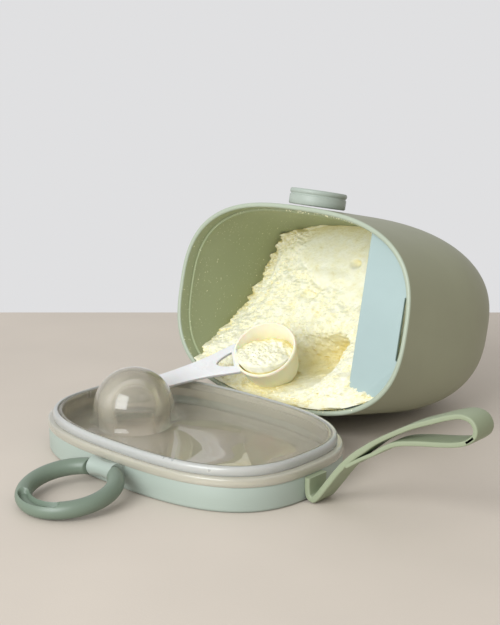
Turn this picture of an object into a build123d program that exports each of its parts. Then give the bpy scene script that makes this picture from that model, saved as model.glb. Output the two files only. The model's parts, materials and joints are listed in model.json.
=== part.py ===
from build123d import *
import math
import os

# Formula dispenser: an oval tub lying on its side, hinged to an open lid that lies flat.
# All sizes are in millimetres. The set is modelled about the lid's centre on the table
# (+X along the lid's long axis, +Y from lid to tub, +Z up), and moved at the end so that
# the origin is the bottom centre of the box round the whole set.

os.makedirs("parts", exist_ok=True)

# ---- Driving dimensions ---------------------------------------------------------------
OVAL_POWER = 2.78                 # |x/a|^n + |y/b|^n = 1
TUB_A, TUB_B = 69.5, 47.2         # half sizes of the tub's mouth, outside
TUB_LENGTH = 97.1
TUB_TAPER_A, TUB_TAPER_B = 0.3, 0.2      # degrees
BASE_ROUND_DEPTH = 53.0           # length over which the wall rounds into the base
BASE_ROUND_INSET = 26.6           # how far it comes in
BASE_ROUND_POWER = 1.94
TUB_WALL = 3.0
BORE_INSET = 2.2                  # wall left at the counterbored mouth
BORE_DEPTH = 6.4

LID_BAND_HEIGHT = 10.8
LID_A, LID_B = 69.3, 45.9
BAND_WALL = 2.5
BAND_LIP = 2.0                    # thickness of the lip at the lid's bottom edge
LID_OPENING_A, LID_OPENING_B = 61.0, 37.6
FLANGE_A, FLANGE_B = 69.6, 46.2
FLANGE_TOP = 14.5
PLUG_A, PLUG_B = 64.9, 42.3
PLUG_TOP = 18.0
PLUG_WALL = 1.8
TRAY_FLOOR_TOP = 8.0
TRAY_FLOOR = 1.6
SEAL_A, SEAL_B = 66.8, 44.5
SEAL_TOP = 18.4
BAND_EDGE_ROUND = 1.4
FLANGE_EDGE_ROUND = 0.9
SEAL_EDGE_ROUND = 1.4

DOME_X = -37.0
DOME_RADIUS = 18.5
DOME_FLARE = 19.7
DOME_CENTRE_Z = 15.2
DOME_WALL = 1.5

HINGE_Y, HINGE_Z = 48.15, 11.1    # hinge axis, parallel to X
HINGE_DROP = 48.15                # the same axis below the mouth's centre line
HINGE_PROUD = 3.7                 # and in front of the rim's plane
KNUCKLE_RADIUS = 2.3
HINGE_PIN_RADIUS = 1.1
KNUCKLE_HALF = 10.0
KNUCKLE_OUTER = 20.0
HINGE_WEB_REACH = 7.0             # how far the tub's hinge bracket runs back along the wall
HINGE_WEB_BELOW = 1.4             # how far it stands below the hinge axis
HINGE_FOOT_TOP = -1.2             # its foot in the wall ends below the rim
HINGE_FOOT_BITE = 1.6
RUNNING_CLEARANCE = 0.05
PART_GAP = 0.4

KNOB_RADIUS = 13.4
KNOB_BACK = 13.2                  # knob's axis behind the rim
KNOB_TOP = 55.5
KNOB_GROOVE = 0.6
KNOB_GROOVE_BELOW, KNOB_GROOVE_WIDTH = 2.0, 1.0
KNOB_EDGE_ROUND = 0.8

PLATE_CHORD_X = 39.9
PLATE_CUT_X = 62.7
PLATE_CUT_HALF = 15.0
PLATE_THICK = 1.6
PLATE_FIT = 0.4

RING_RADIUS = 18.6                # centre line
RING_TUBE = 3.5
RING_GAP_HALF = 7.3
GROOVE_RADIUS = 1.5               # finger groove on top of the far side
GROOVE_ARC = 68.0
RING_PIN_Y, RING_PIN_Z = -50.8, 9.0
RING_PIN_RADIUS = 0.9
RING_PIN_HALF = 8.4
BRACKET_HALF = 7.0
BRACKET_END_RADIUS, BRACKET_WAIST_RADIUS = 4.2, 3.2

STRAP_WIDTH = 11.4
STRAP_THICK = 2.6
FOLD_X, FOLD_Z = 73.5, 1.3        # the strap's fold at the table
FOLD_GAP = 0.5
STUD_RADIUS, STUD_HEAD_RADIUS = 1.6, 3.0
STUD_Z = 6.2

SCOOP_RADIUS = 15.5
SCOOP_BASE_RADIUS = 12.4
SCOOP_DEPTH = 19.0
SCOOP_WALL = 1.3
SCOOP_HANDLE_THICK = 2.0
SCOOP_REACH = 60.0                # cup's centre to the handle's end
SCOOP_CENTRE = (-9.0, 58.2, 36.0)
SCOOP_NORMAL = (0.19, -0.642, 0.742)
SCOOP_HANDLE = (-0.739, -0.591, -0.322)
SCOOP_LIFT = (0.0, -0.25, 0.968)
SCOOP_FRAME = Location(Plane(origin=SCOOP_CENTRE, x_dir=SCOOP_HANDLE, z_dir=SCOOP_NORMAL))


# ---- Resting attitude -----------------------------------------------------------------
def tub_half_size(depth):
    """Outer half sizes at a depth below the rim."""
    start = TUB_LENGTH - BASE_ROUND_DEPTH
    share = min(max((depth - start) / BASE_ROUND_DEPTH, 0.0), 1.0)
    round_in = BASE_ROUND_INSET * (1 - (1 - share ** BASE_ROUND_POWER) ** (1 / BASE_ROUND_POWER))
    half_a = TUB_A - depth * math.tan(math.radians(TUB_TAPER_A)) - round_in
    half_b = TUB_B - depth * math.tan(math.radians(TUB_TAPER_B)) - round_in
    return half_a, half_b


def lowest_point(tilt):
    """Height of the tub's lowest point when its axis rises by tilt towards the mouth."""
    start_z = HINGE_Z + HINGE_DROP * math.cos(tilt) - HINGE_PROUD * math.sin(tilt)
    heights = []
    for step in range(101):
        depth = TUB_LENGTH * step / 100
        half_b = tub_half_size(depth)[1]
        heights.append(start_z - half_b * math.cos(tilt) - depth * math.sin(tilt))
    return min(heights)


def resting_tilt():
    """Tilt at which the tub just touches the table."""
    low, high = 0.0, math.radians(30)
    for _ in range(40):
        middle = (low + high) / 2
        if lowest_point(middle) > 0:
            low = middle
        else:
            high = middle
    return low


TILT = resting_tilt()
UP = Vector(0, math.sin(TILT), math.cos(TILT))            # from the tub's axis to the knob
OUT = Vector(0, -math.cos(TILT), math.sin(TILT))          # out of the mouth
MOUTH_CENTRE = Vector(0, HINGE_Y, HINGE_Z) + UP * HINGE_DROP - OUT * HINGE_PROUD
TUB = Location(Plane(origin=MOUTH_CENTRE, x_dir=(1, 0, 0), z_dir=OUT))


# ---- Shared shapes --------------------------------------------------------------------
def oval(half_a, half_b, height=0.0):
    """Face of an oval outline at a height, normal to Z."""
    points = []
    count = 32
    for step in range(count):
        turn = 2 * math.pi * step / count
        x, y = math.cos(turn), math.sin(turn)
        reach = (abs(x) ** OVAL_POWER + abs(y) ** OVAL_POWER) ** (-1 / OVAL_POWER)
        points.append((half_a * reach * x, half_b * reach * y))
    return Pos(0, 0, height) * make_face(Spline(*points, periodic=True))


def oval_block(half_a, half_b, low, high):
    return extrude(oval(half_a, half_b, low), high - low)


def oval_ring(outer, inner, low, high):
    return oval_block(*outer, low, high) - oval_block(*inner, low - 1, high + 1)


def tub_depths(last):
    """Depths of the loft's sections, closer together round the base."""
    start = TUB_LENGTH - BASE_ROUND_DEPTH
    depths = [0.0, start / 3, 2 * start / 3, start]
    for degrees in (20, 36, 50, 62, 72, 81, 90):
        share = math.sin(math.radians(degrees)) ** (2 / BASE_ROUND_POWER)
        depths.append(start + share * BASE_ROUND_DEPTH)
    return [depth * last / TUB_LENGTH for depth in depths]


def tub_body(inset, last):
    """Solid inside the tub's outline brought in by inset, from the rim to a last depth."""
    sections = []
    for depth in tub_depths(last):
        half_a, half_b = tub_half_size(depth * TUB_LENGTH / last)
        sections.append(oval(half_a - inset, half_b - inset, -depth))
    return loft(sections)


def rod(radius, x_from, x_to, y, z):
    """Round bar parallel to X."""
    bar = Cylinder(radius, x_to - x_from, align=(Align.CENTER, Align.CENTER, Align.MIN))
    return Pos(x_from, y, z) * Rot(0, 90, 0) * bar


def block(x_range, y_range, z_range):
    size = [high - low for low, high in (x_range, y_range, z_range)]
    middle = [(high + low) / 2 for low, high in (x_range, y_range, z_range)]
    return Pos(*middle) * Box(*size)


# ---- Tub ------------------------------------------------------------------------------
def make_container_shell():
    outer = tub_body(0, TUB_LENGTH)
    hollow = tub_body(TUB_WALL, TUB_LENGTH - TUB_WALL)
    bore = oval_block(TUB_A - BORE_INSET, TUB_B - BORE_INSET, -BORE_DEPTH, 1)
    shell = outer - hollow - bore
    barrel = rod(KNUCKLE_RADIUS, -KNUCKLE_HALF, KNUCKLE_HALF, -HINGE_DROP, HINGE_PROUD)
    across = (-KNUCKLE_HALF, KNUCKLE_HALF)
    web = block(across, (-HINGE_DROP - HINGE_WEB_BELOW, -TUB_B + 0.1), (-HINGE_WEB_REACH, HINGE_PROUD))
    foot = block(across, (-TUB_B - 0.2, -TUB_B + HINGE_FOOT_BITE), (-HINGE_WEB_REACH, HINGE_FOOT_TOP))
    bracket = barrel + web + foot
    bracket -= rod(HINGE_PIN_RADIUS, -KNUCKLE_OUTER, KNUCKLE_OUTER, -HINGE_DROP, HINGE_PROUD)
    bracket -= hollow + bore
    return TUB * (shell + bracket)


def make_latch_knob():
    low = TUB_B - 3.0
    groove_high = KNOB_TOP - KNOB_GROOVE_BELOW
    groove_low = groove_high - KNOB_GROOVE_WIDTH
    groove_radius = KNOB_RADIUS - KNOB_GROOVE
    outline = Polyline(
        (0, low), (KNOB_RADIUS, low), (KNOB_RADIUS, groove_low), (groove_radius, groove_low),
        (groove_radius, groove_high), (KNOB_RADIUS, groove_high), (KNOB_RADIUS, KNOB_TOP),
        (0, KNOB_TOP), close=True)
    knob = revolve(make_face(outline), Axis.Y)
    top = knob.faces().sort_by(Axis.Y)[-1]
    knob = fillet(top.edges(), KNOB_EDGE_ROUND)
    knob = Pos(0, 0, -KNOB_BACK) * knob
    front = oval_block(TUB_A, TUB_B, -1, 2)
    return TUB * (knob - tub_body(0, TUB_LENGTH) - front)


def make_leveller_plate():
    half_a = TUB_A - BORE_INSET - PLATE_FIT
    half_b = TUB_B - BORE_INSET - PLATE_FIT
    plate = oval_block(half_a, half_b, -BORE_DEPTH, -BORE_DEPTH + PLATE_THICK)
    plate &= block((PLATE_CHORD_X, TUB_A), (-TUB_B, TUB_B), (-BORE_DEPTH, 0))
    slit = block((PLATE_CUT_X, TUB_A), (-PLATE_CUT_HALF, PLATE_CUT_HALF), (-BORE_DEPTH - 1, 1))
    return TUB * (plate - slit)


def powder_air(x, profile):
    """Section, normal to X, of the free space in front of the powder: (y, depth) points."""
    plane = Plane(origin=(x, 0, 0), x_dir=(0, 1, 0), z_dir=(1, 0, 0))
    top = [(60.0, -profile[-1][1]), (60.0, 20.0), (-60.0, 20.0), (-60.0, 4.0)]
    slope = Spline(*[(y, -depth) for y, depth in profile])
    edge = Polyline((profile[-1][0], -profile[-1][1]), *top, (profile[0][0], -profile[0][1]))
    return plane * make_face(slope + edge)


def make_powder_bed():
    """Powder up to a sloping face, clear of the way that the scoop takes out of it."""
    bed = tub_body(TUB_WALL + PART_GAP, TUB_LENGTH - TUB_WALL - PART_GAP)
    bed &= oval_block(TUB_A, TUB_B, -TUB_LENGTH, -BORE_DEPTH - PART_GAP)
    left = [(-52, 4), (-34, 8), (-20, 30), (-6, 46), (14, 56), (50, 56)]
    middle = [(-52, 4), (-44, 7), (-38, 30), (-16, 38), (14, 46), (50, 50)]
    right = [(-52, 4), (-42, 7), (-28, 20), (-4, 26), (20, 30), (50, 34)]
    air = loft([powder_air(-72, left), powder_air(-10, middle), powder_air(72, right)])
    bed = TUB * (bed - air)
    for level in range(5):
        share = level / 4
        radius = SCOOP_RADIUS + (SCOOP_BASE_RADIUS - SCOOP_RADIUS) * share + 1.0
        centre = SCOOP_FRAME * Pos(0, 0, 0.5 - share * (SCOOP_DEPTH + 1.2))
        path = extrude(centre * Circle(radius), amount=90, dir=Vector(*SCOOP_LIFT).normalized())
        bed -= path
    return bed


# ---- Lid ------------------------------------------------------------------------------
def lid_knuckle_room():
    """Room in the lid for the tub's middle knuckle."""
    half = KNUCKLE_HALF + PART_GAP
    return rod(KNUCKLE_RADIUS + PART_GAP, -half, half, HINGE_Y, HINGE_Z)


def make_lid_shell():
    band = oval_block(LID_A, LID_B, 0, LID_BAND_HEIGHT)
    band = fillet(band.faces().sort_by(Axis.Z)[0].edges(), BAND_EDGE_ROUND)
    band -= oval_block(LID_A - BAND_WALL, LID_B - BAND_WALL, BAND_LIP, LID_BAND_HEIGHT + 1)
    band -= oval_block(LID_OPENING_A, LID_OPENING_B, -1, BAND_LIP + 1)
    for side in (-1, 1):
        near = side * (KNUCKLE_HALF + PART_GAP)
        far = side * KNUCKLE_OUTER
        low, high = min(near, far), max(near, far)
        knuckle = rod(KNUCKLE_RADIUS, low, high, HINGE_Y, HINGE_Z)
        arm = block((low, high), (LID_B - 1.5, HINGE_Y),
                    (HINGE_Z - KNUCKLE_RADIUS, LID_BAND_HEIGHT))
        knuckle += arm
        knuckle -= rod(HINGE_PIN_RADIUS + RUNNING_CLEARANCE, low - 1, high + 1, HINGE_Y, HINGE_Z)
        band += knuckle
    band -= lid_knuckle_room()
    return band - Pos(LID_A, 0, STUD_Z) * Rot(0, 90, 0) * Cylinder(STUD_RADIUS, 20)


def make_window_tray():
    flange = oval_ring((FLANGE_A, FLANGE_B), (PLUG_A - 1, PLUG_B - 1), LID_BAND_HEIGHT, FLANGE_TOP)
    flange_top = flange.faces().sort_by(Axis.Z)[-1]
    flange = fillet(flange_top.outer_wire().edges(), FLANGE_EDGE_ROUND)
    floor_low = TRAY_FLOOR_TOP - TRAY_FLOOR
    cup = oval_block(PLUG_A, PLUG_B, floor_low, PLUG_TOP)
    cup -= oval_block(PLUG_A - PLUG_WALL, PLUG_B - PLUG_WALL, TRAY_FLOOR_TOP, PLUG_TOP + 1)
    dome = Pos(DOME_X, 0, DOME_CENTRE_Z) * Sphere(DOME_RADIUS)
    neck_height = DOME_CENTRE_Z - TRAY_FLOOR_TOP
    neck = Pos(DOME_X, 0, TRAY_FLOOR_TOP + neck_height / 2)
    neck *= Cone(DOME_FLARE, DOME_RADIUS, neck_height)
    inner_radius = DOME_RADIUS - DOME_WALL
    hollow = Pos(DOME_X, 0, DOME_CENTRE_Z) * Sphere(inner_radius)
    throat_height = DOME_CENTRE_Z - floor_low + 1
    throat = Pos(DOME_X, 0, DOME_CENTRE_Z - throat_height / 2)
    throat *= Cylinder(inner_radius, throat_height)
    upper = block((-60, 0), (-30, 30), (TRAY_FLOOR_TOP, 60))
    tray = flange + cup + neck + (dome & upper)
    tray -= throat + hollow
    knuckle_clear = KNUCKLE_RADIUS + PART_GAP
    tray -= rod(knuckle_clear, -KNUCKLE_OUTER - 1, KNUCKLE_OUTER + 1, HINGE_Y, HINGE_Z)
    return tray


def make_lid_seal():
    seal = oval_block(SEAL_A, SEAL_B, FLANGE_TOP, SEAL_TOP)
    seal = fillet(seal.faces().sort_by(Axis.Z)[-1].edges(), SEAL_EDGE_ROUND)
    return seal - oval_block(PLUG_A, PLUG_B, FLANGE_TOP - 1, SEAL_TOP + 1)


def make_hinge_pin():
    reach = KNUCKLE_OUTER - 0.6
    return TUB * rod(HINGE_PIN_RADIUS, -reach, reach, -HINGE_DROP, HINGE_PROUD)


# ---- Pull ring ------------------------------------------------------------------------
def make_ring_bracket():
    end, waist = BRACKET_END_RADIUS, BRACKET_WAIST_RADIUS
    side = Spline((-BRACKET_HALF, end), (0, waist), (BRACKET_HALF, end),
                  tangents=[(1, -0.25), (1, 0.25)])
    edge = Polyline((BRACKET_HALF, end), (BRACKET_HALF, 0), (-BRACKET_HALF, 0), (-BRACKET_HALF, end))
    barrel = Pos(0, RING_PIN_Y, RING_PIN_Z) * revolve(make_face(side + edge), Axis.X)
    web = block((-BRACKET_HALF + 0.8, BRACKET_HALF - 0.8), (RING_PIN_Y, -LID_B + 2),
                (RING_PIN_Z - 3.2, LID_BAND_HEIGHT - 0.1))
    bracket = barrel + web
    bracket -= oval_block(LID_A, LID_B, 0, LID_BAND_HEIGHT)
    bracket -= oval_block(FLANGE_A + 0.2, FLANGE_B + 0.2, LID_BAND_HEIGHT - 0.1, FLANGE_TOP + 2)
    return bracket - rod(RING_PIN_RADIUS, -20, 20, RING_PIN_Y, RING_PIN_Z)


def make_ring_pin():
    return rod(RING_PIN_RADIUS, -RING_PIN_HALF, RING_PIN_HALF, RING_PIN_Y, RING_PIN_Z)


def ring_frame():
    """The ring's own plane: it slopes down until its far side lies on the table."""
    slope = math.asin((RING_PIN_Z - RING_TUBE) / (2 * RING_RADIUS))
    outward = Vector(0, -math.cos(slope), -math.sin(slope))
    centre = Vector(0, RING_PIN_Y, RING_PIN_Z) + outward * RING_RADIUS
    normal = Vector(0, -math.sin(slope), math.cos(slope))
    return Location(Plane(origin=centre, x_dir=(1, 0, 0), z_dir=normal))


def make_pull_ring():
    ring = Torus(RING_RADIUS, RING_TUBE)
    gap = block((-RING_GAP_HALF, RING_GAP_HALF), (0, RING_RADIUS + 10), (-10, 10))
    ring -= gap
    groove = Torus(RING_RADIUS, GROOVE_RADIUS, major_angle=GROOVE_ARC)
    ring -= Pos(0, 0, RING_TUBE - 0.6) * Rot(0, 0, 270 - GROOVE_ARC / 2) * groove
    bore = rod(RING_PIN_RADIUS + RUNNING_CLEARANCE, -RING_PIN_HALF - 0.3, RING_PIN_HALF + 0.3, 0, 0)
    ring = ring_frame() * ring
    return ring - Pos(0, RING_PIN_Y, RING_PIN_Z) * bore


# ---- Strap ----------------------------------------------------------------------------
def ribbon(line):
    """Band of the strap's width and thickness along a line in the XZ plane."""
    start = line @ 0
    along = line % 0
    plane = Plane(origin=start, x_dir=(0, 1, 0), z_dir=along)
    return sweep(plane * Rectangle(STRAP_WIDTH, STRAP_THICK), path=line)


def make_strap_root():
    outer_x = LID_A + STRAP_THICK
    leaf = block((LID_A - 2, outer_x), (-STRAP_WIDTH / 2, STRAP_WIDTH / 2), (0.2, 10.4))
    leaf += block((LID_A, FOLD_X), (-STRAP_WIDTH / 2, STRAP_WIDTH / 2), (0.2, 2.6))
    leaf -= oval_block(LID_A, LID_B, -1, LID_BAND_HEIGHT + 1)
    leaf -= Pos(FOLD_X, 0, FOLD_Z) * Rot(90, 0, 0) * Cylinder(STRAP_THICK / 2 + FOLD_GAP, 40)
    return leaf - Pos(LID_A, 0, STUD_Z) * Rot(0, 90, 0) * Cylinder(STUD_RADIUS, 20)


def make_strap_stud():
    inside_x = LID_A - BAND_WALL - 0.05
    shank = rod(STUD_RADIUS, inside_x, LID_A + STRAP_THICK, 0, STUD_Z)
    head = rod(STUD_HEAD_RADIUS, inside_x - 1.0, inside_x, 0, STUD_Z)
    return shank + head


def make_strap_loop():
    """Stem, upper leg and rounded end in one band, and the lower leg back to the stem."""
    outward = Spline((FOLD_X, 0, FOLD_Z), (80.3, 0, 9.9), (92.6, 0, 24.5), (102.2, 0, 32.3),
                     (118.9, 0, 42.9), (135.3, 0, 50.4), (142.2, 0, 52.2), (147.2, 0, 48.6),
                     (143.7, 0, 43.0), (138.0, 0, 40.8))
    back = Spline(outward @ 1, (121.9, 0, 37.4), (107.6, 0, 31.9), (100.8, 0, 28.4),
                  tangents=[outward % 1, (-1, 0, -0.45)])
    fold = Pos(FOLD_X, 0, FOLD_Z) * Rot(90, 0, 0) * Cylinder(STRAP_THICK / 2, STRAP_WIDTH)
    return ribbon(outward) + ribbon(back) + fold


# ---- Scoop ----------------------------------------------------------------------------
def cup_solid(inset, depth):
    """Tapered cup with a rounded bottom edge, its mouth at height 0."""
    cone = Cone(SCOOP_BASE_RADIUS - inset, SCOOP_RADIUS - inset, depth,
                align=(Align.CENTER, Align.CENTER, Align.MAX))
    return fillet(cone.faces().sort_by(Axis.Z)[0].edges(), 3.0 - inset)


def make_scoop():
    cup = cup_solid(0, SCOOP_DEPTH) - cup_solid(SCOOP_WALL, SCOOP_DEPTH - SCOOP_WALL)
    fork = Polyline((SCOOP_RADIUS - 4.5, 9.5), (28, 6.4), (42, 4.2), (SCOOP_REACH - 4, 4.2),
                    (SCOOP_REACH, 1.5), (SCOOP_REACH, -1.5), (SCOOP_REACH - 4, -4.2), (42, -4.2),
                    (28, -6.4), (SCOOP_RADIUS - 4.5, -9.5), close=True)
    handle = extrude(make_face(fork), -SCOOP_HANDLE_THICK)
    hole = Polyline((SCOOP_RADIUS - 1, 4.6), (23.4, 1.4), (23.4, -1.4), (SCOOP_RADIUS - 1, -4.6),
                    close=True)
    handle -= Pos(0, 0, 1) * extrude(make_face(hole), -4.0)
    handle -= Cone(SCOOP_BASE_RADIUS, SCOOP_RADIUS - 0.3, SCOOP_DEPTH,
                   align=(Align.CENTER, Align.CENTER, Align.MAX))
    return SCOOP_FRAME * (cup + handle)


def make_scoop_powder():
    fill = cup_solid(SCOOP_WALL, SCOOP_DEPTH - SCOOP_WALL)
    fill -= Pos(0, 0, -1.2 + 40) * Sphere(40)
    return SCOOP_FRAME * fill


# ---- Whole set ------------------------------------------------------------------------
PARTS = {
    "container_shell": make_container_shell(),
    "latch_knob": make_latch_knob(),
    "leveller_plate": make_leveller_plate(),
    "powder_bed": make_powder_bed(),
    "lid_hinge_pin": make_hinge_pin(),
    "lid_shell": make_lid_shell(),
    "window_tray": make_window_tray(),
    "lid_seal": make_lid_seal(),
    "ring_bracket": make_ring_bracket(),
    "ring_pin": make_ring_pin(),
    "pull_ring": make_pull_ring(),
    "strap_root": make_strap_root(),
    "strap_stud": make_strap_stud(),
    "strap_loop": make_strap_loop(),
    "scoop": make_scoop(),
    "scoop_powder": make_scoop_powder(),
}

BOX = Compound(children=[shape.solids()[0] for shape in PARTS.values()]).bounding_box()
SHIFT = Vector(-(BOX.min.X + BOX.max.X) / 2, -(BOX.min.Y + BOX.max.Y) / 2, -BOX.min.Z)

for name, shape in PARTS.items():
    export_step(Pos(*SHIFT) * shape, f"parts/{name}.step")
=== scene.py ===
import json
import math
import random

import bpy
import bmesh
import numpy as np
from mathutils import Matrix, Vector, noise


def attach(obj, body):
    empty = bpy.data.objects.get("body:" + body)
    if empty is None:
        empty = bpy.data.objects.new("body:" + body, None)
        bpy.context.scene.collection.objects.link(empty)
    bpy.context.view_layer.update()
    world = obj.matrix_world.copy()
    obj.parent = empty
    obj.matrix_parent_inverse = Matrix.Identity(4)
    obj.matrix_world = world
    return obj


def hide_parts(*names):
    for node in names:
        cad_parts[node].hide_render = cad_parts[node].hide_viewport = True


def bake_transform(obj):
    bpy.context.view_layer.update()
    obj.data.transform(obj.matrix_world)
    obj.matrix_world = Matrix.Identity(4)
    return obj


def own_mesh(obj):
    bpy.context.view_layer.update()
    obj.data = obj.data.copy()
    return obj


# Formula dispenser. Shapes are worked out in millimetres in local frames: the tub's mouth, the
# lid's centre, the ring and the scoop. Those are placed from the joints, and put into metres.

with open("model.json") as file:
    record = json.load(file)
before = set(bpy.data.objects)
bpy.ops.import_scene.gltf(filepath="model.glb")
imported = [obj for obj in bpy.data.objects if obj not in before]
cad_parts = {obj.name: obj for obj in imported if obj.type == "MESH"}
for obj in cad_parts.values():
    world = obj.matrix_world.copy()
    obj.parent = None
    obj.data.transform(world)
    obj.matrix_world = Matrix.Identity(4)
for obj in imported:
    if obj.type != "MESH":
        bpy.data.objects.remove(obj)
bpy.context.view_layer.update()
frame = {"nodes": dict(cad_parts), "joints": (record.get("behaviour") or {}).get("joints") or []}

MM = 0.001
OVAL_POWER = 2.78                 # superellipse exponent of every oval
AROUND = 224                      # points round an oval
TUB_A, TUB_B, TUB_LENGTH = 69.5, 47.2, 97.1        # half sizes of the mouth, and the depth
TUB_TAPER_A, TUB_TAPER_B = 0.3, 0.2                # degrees
ROUND_DEPTH, ROUND_INSET, ROUND_POWER = 53.0, 26.6, 1.94
STRAIGHT_DEPTH = TUB_LENGTH - ROUND_DEPTH
TUB_WALL, BORE_INSET, BORE_DEPTH, RIM_ROUND = 3.0, 2.2, 6.4, 0.95
HINGE_DROP, HINGE_PROUD = 48.15, 3.7
HINGE_Y, HINGE_Z = 48.15, 11.1
KNUCKLE_RADIUS, KNUCKLE_HALF, KNUCKLE_OUTER = 2.3, 10.0, 20.0
KNOB_TOP, KNOB_BACK = 55.5, 13.2
LEVELLER_CHORD, LEVELLER_CUT, LEVELLER_CUT_HALF = 39.9, 62.7, 15.0
POWDER_LEAST, POWDER_MOST, POWDER_PROUD = 0.6, 90.0, 0.6      # depths, and height past the rim
BAND_A, BAND_B, BAND_TOP = 69.3, 45.9, 10.8
FLANGE_A, FLANGE_B, FLANGE_TOP = 69.6, 46.2, 14.5
SEAL_A, SEAL_B, SEAL_TOP = 66.8, 44.5, 18.4
TRAY_A, TRAY_B, TRAY_LOW, TRAY_FLOOR, TRAY_TOP, TRAY_WALL = 64.9, 42.3, 6.4, 8.0, 18.0, 1.8
RING_RADIUS, RING_TUBE, RING_GAP_HALF = 18.6, 3.5, 7.3
BARREL_Y, BARREL_Z, BARREL_HALF = -50.8, 9.0, 7.0
DOME_X, DOME_RADIUS, DOME_CENTRE_Z, DOME_WALL = -37.0, 18.5, 15.2, 1.5
SCOOP_RADIUS, SCOOP_BASE_RADIUS, SCOOP_DEPTH, SCOOP_WALL = 15.5, 12.4, 19.0, 1.3

JOINTS = {joint["name"]: joint for joint in frame["joints"]}
PIVOT = Vector(JOINTS["lid_hinge"]["pos_m"])
TILT = math.radians(JOINTS["lid_hinge"]["range_deg"][1] - 90)
UP = Vector((0, math.sin(TILT), math.cos(TILT)))
OUT = Vector((0, -math.cos(TILT), math.sin(TILT)))
MOUTH = PIVOT + UP * HINGE_DROP * MM - OUT * HINGE_PROUD * MM
LID_ORIGIN = Vector((PIVOT.x, PIVOT.y - HINGE_Y * MM, 0))


def placed(origin, x_axis, y_axis, z_axis):
    """Matrix from local millimetres to the object's metres."""
    turn = Matrix((x_axis, y_axis, z_axis)).transposed().to_4x4()
    return Matrix.Translation(origin) @ turn @ Matrix.Scale(MM, 4)


X_AXIS = Vector((1, 0, 0))
TUB = placed(MOUTH, X_AXIS, UP, OUT)
LID = placed(LID_ORIGIN, X_AXIS, Vector((0, 1, 0)), Vector((0, 0, 1)))


# ---- Materials ------------------------------------------------------------------------
def material(name):
    made = bpy.data.materials.new(name)
    made.use_nodes = True
    tree = made.node_tree
    return made, tree, tree.nodes["Principled BSDF"]


def add_node(tree, kind, **values):
    made = tree.nodes.new(kind)
    for key, value in values.items():
        if key in made.inputs:
            made.inputs[key].default_value = value
        else:
            setattr(made, key, value)
    return made


def place_socket(tree, output="Object"):
    return add_node(tree, "ShaderNodeTexCoord").outputs[output]


def noise_node(tree, scale, detail=4.0, roughness=0.55):
    """Noise in the object's frame, scale in features per metre."""
    made = add_node(tree, "ShaderNodeTexNoise", Scale=scale, Detail=detail, Roughness=roughness)
    tree.links.new(place_socket(tree), made.inputs["Vector"])
    return made.outputs["Fac"]


def range_node(tree, source, start=(0.0, 1.0), end=(0.0, 1.0)):
    """A value carried from one pair of limits to another."""
    made = add_node(tree, "ShaderNodeMapRange")
    for name, value in zip(("From Min", "From Max", "To Min", "To Max"), (*start, *end)):
        made.inputs[name].default_value = value
    tree.links.new(source, made.inputs["Value"])
    return made.outputs["Result"]


def weighted_sum(tree, first, weight, second):
    made = add_node(tree, "ShaderNodeMath", operation="MULTIPLY_ADD")
    tree.links.new(first, made.inputs[0])
    made.inputs[1].default_value = weight
    tree.links.new(second, made.inputs[2])
    return made.outputs["Value"]


def product_of_colors(tree, first, second):
    made = add_node(tree, "ShaderNodeMix", data_type="RGBA", blend_type="MULTIPLY")
    made.inputs["Factor"].default_value = 1.0
    tree.links.new(first, made.inputs[6])
    tree.links.new(second, made.inputs[7])
    return made.outputs[2]


def ramp_node(tree, source, stops):
    made = tree.nodes.new("ShaderNodeValToRGB")
    ramp = made.color_ramp
    while len(ramp.elements) < len(stops):
        ramp.elements.new(0.5)
    for element, (place, color) in zip(ramp.elements, stops):
        element.position = place
        element.color = (*color, 1)
    tree.links.new(source, made.inputs["Fac"])
    return made.outputs["Color"]


def shade(color, share):
    return tuple(min(1.0, channel * share) for channel in color)


def bump_link(tree, shader, source, distance, strength=1.0):
    made = add_node(tree, "ShaderNodeBump", Strength=strength, Distance=distance)
    tree.links.new(source, made.inputs["Height"])
    tree.links.new(made.outputs["Normal"], shader.inputs["Normal"])


def moulded(name, color, roughness=0.45, grain=0.00002, subsurface=0.0):
    """Satin moulded plastic: faint tone drift, a fine spark-eroded grain, uneven gloss."""
    made, tree, shader = material(name)
    tone = noise_node(tree, 28.0, 3.0)
    color_drift = ramp_node(tree, tone, [(0.3, shade(color, 0.955)), (0.7, shade(color, 1.03))])
    tree.links.new(color_drift, shader.inputs["Base Color"])
    bump_link(tree, shader, noise_node(tree, 2600.0, 2.0), grain)
    gloss = range_node(tree, noise_node(tree, 60.0, 5.0), end=(roughness - 0.05, roughness + 0.06))
    tree.links.new(gloss, shader.inputs["Roughness"])
    if subsurface:
        shader.inputs["Subsurface Weight"].default_value = subsurface
        shader.inputs["Subsurface Scale"].default_value = 0.002
    return made


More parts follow.
